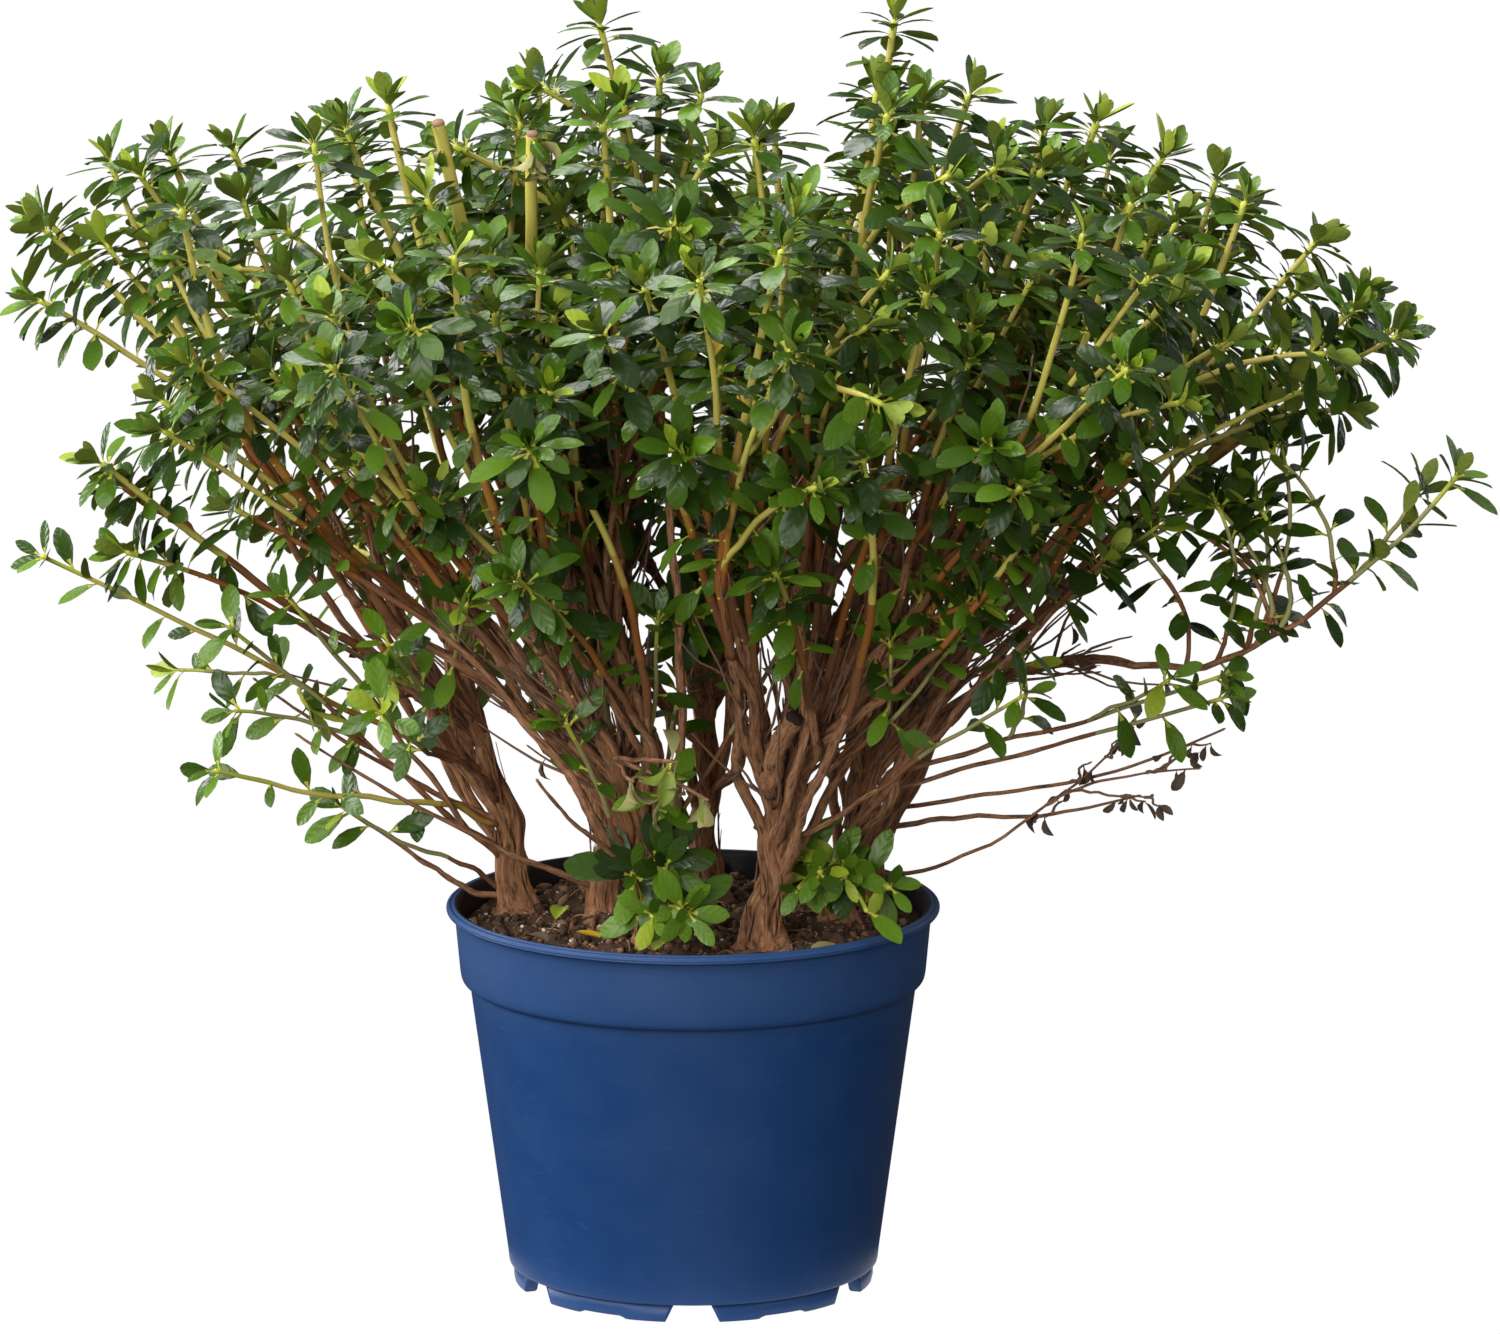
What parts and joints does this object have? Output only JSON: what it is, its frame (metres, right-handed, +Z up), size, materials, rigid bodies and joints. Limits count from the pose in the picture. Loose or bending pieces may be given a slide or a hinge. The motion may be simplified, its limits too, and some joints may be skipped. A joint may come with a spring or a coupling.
{
  "type": "potted japanese azalea shrub",
  "caption": "Evergreen azalea shrub with many upright leafy shoots fanning from woody stems in a round nursery pot.",
  "frame": {"origin": "middle of the pot's flat underside, on the surface that the pot stands on", "axes": "+Z up, -Y towards the front of the plant, +X to the right as seen from the front"},
  "size_m": [0.7113, 0.5372, 0.6068],
  "materials": {
    "pot": "satin",
    "soil": "matte",
    "bark": "matte",
    "dry_bark": "matte",
    "foliage": "satin"
  },
  "bodies": {
    "root": {"bough_outer_1": "bark", "bough_outer_10": "bark", "bough_outer_11": "bark", "bough_outer_2": "bark", "bough_outer_3": "bark", "bough_outer_4": "bark", "bough_outer_5": "bark", "bough_outer_6": "bark", "bough_outer_7": "bark", "bough_outer_8": "bark", "bough_outer_9": "bark", "bough_right_arm": "bark", "bough_top": "bark", "bough_upper_1": "bark", "bough_upper_2": "bark", "bough_upper_3": "bark", "bough_upper_4": "bark", "bough_upper_5": "bark", "bough_upper_6": "bark", "dry_spray": "dry_bark", "foliage_back_arm_left": "foliage", "foliage_back_arm_right": "foliage", "foliage_left_arm": "foliage", "foliage_left_low": "foliage", "foliage_outer_1": "foliage", "foliage_outer_10": "foliage", "foliage_outer_11": "foliage", "foliage_outer_2": "foliage", "foliage_outer_3": "foliage", "foliage_outer_4": "foliage", "foliage_outer_5": "foliage", "foliage_outer_6": "foliage", "foliage_outer_7": "foliage", "foliage_outer_8": "foliage", "foliage_outer_9": "foliage", "foliage_right_arm": "foliage", "foliage_right_low": "foliage", "foliage_top": "foliage", "foliage_tuft_front": "foliage", "foliage_tuft_right": "foliage", "foliage_upper_1": "foliage", "foliage_upper_2": "foliage", "foliage_upper_3": "foliage", "foliage_upper_4": "foliage", "foliage_upper_5": "foliage", "foliage_upper_6": "foliage", "pot": "pot", "soil": "soil", "stem_back": "bark", "stem_back_left": "bark", "stem_back_right": "bark", "stem_centre": "bark", "stem_far_right": "bark", "stem_front": "bark", "stem_left": "bark", "stem_left_centre": "bark", "stem_right": "bark"}
  },
  "joints": []
}
